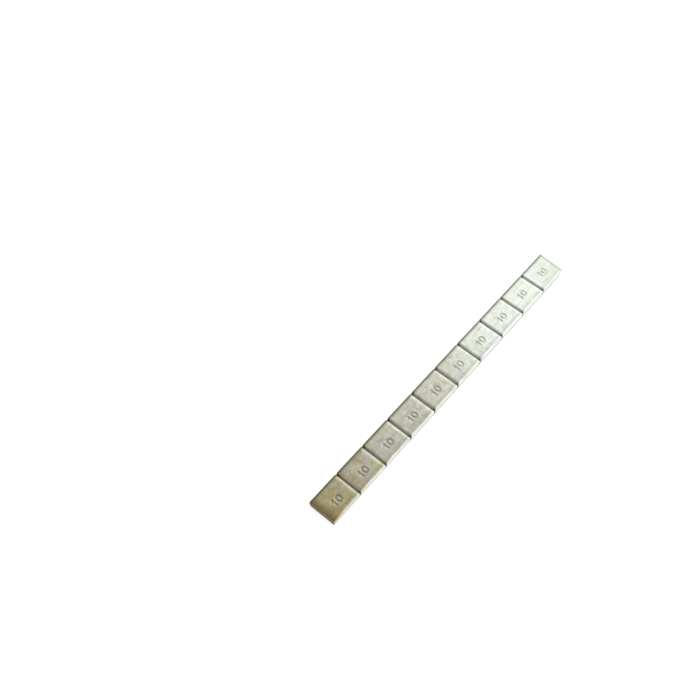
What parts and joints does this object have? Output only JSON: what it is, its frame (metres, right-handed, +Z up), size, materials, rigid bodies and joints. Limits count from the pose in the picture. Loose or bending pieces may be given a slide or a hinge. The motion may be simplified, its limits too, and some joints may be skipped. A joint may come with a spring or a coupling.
{
  "type": "adhesive wheel balance weight",
  "caption": "Flat notched lead strip on foam tape with a release liner; segments are cut off and stuck inside a wheel rim to balance the wheel.",
  "frame": {"origin": "middle of the underside, on the outer face of the release liner", "axes": "+X along the strip, the way the stamped numbers read; +Y across the strip; +Z up out of the stamped face"},
  "size_m": [0.18, 0.0142, 0.0047],
  "materials": {
    "lead": "dull satin bare lead, warm grey, faint marks along the length",
    "foam": "matt dark grey closed-cell foam tape, cut open at its edges",
    "liner": "smooth coated release paper, off-white"
  },
  "bodies": {
    "root": {"weight_strip": "lead", "foam_tape": "foam", "release_liner": "liner"}
  },
  "joints": []
}
